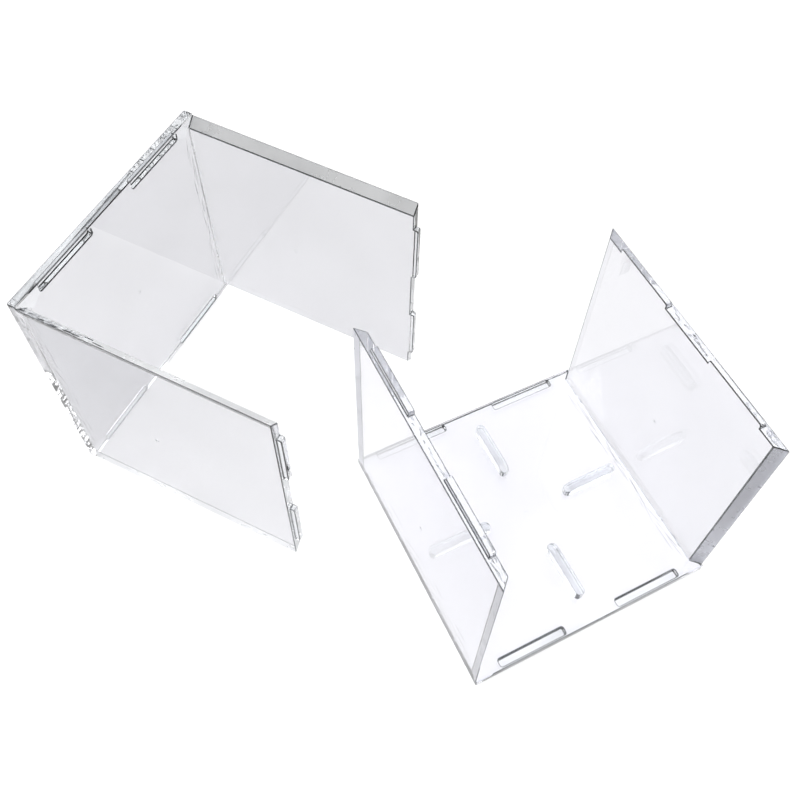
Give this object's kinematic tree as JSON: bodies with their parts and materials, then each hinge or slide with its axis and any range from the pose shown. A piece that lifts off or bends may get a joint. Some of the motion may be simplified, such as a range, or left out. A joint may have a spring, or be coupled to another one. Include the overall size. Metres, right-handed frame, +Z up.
{
  "type": "ball display case",
  "caption": "Clear display cube for a baseball, open: a U-shaped base half with ball rests, and a U-shaped cover half whose tabs drop into slots to close it.",
  "frame": {"origin": "middle of the base half's underside, on the surface that the case stands on", "axes": "+Z up; +X from the base half's left wall to its right wall; +Y towards the open back end of the base half, beside which the cover half stands"},
  "size_m": [0.1566, 0.1695, 0.08],
  "materials": {
    "clear_panel": "polished clear moulded plastic, faint cool tint in the edges",
    "clear_rest": "polished clear moulded plastic"
  },
  "bodies": {
    "base_half": {"base_panel": "clear_panel", "left_wall": "clear_panel", "right_wall": "clear_panel", "ball_rest_right": "clear_rest", "ball_rest_back": "clear_rest", "ball_rest_left": "clear_rest", "ball_rest_front": "clear_rest"},
    "cover_half": {"top_panel": "clear_panel", "front_panel": "clear_panel", "back_panel": "clear_panel"}
  },
  "joints": [
    {"name": "cover_carry", "type": "hinge", "parent": "base_half", "child": "cover_half", "pos_m": [0.01127, 0.03226, 0.05127], "axis": [0.4063, 0.8185, 0.4063], "range_deg": [0, 101.4]}
  ]
}
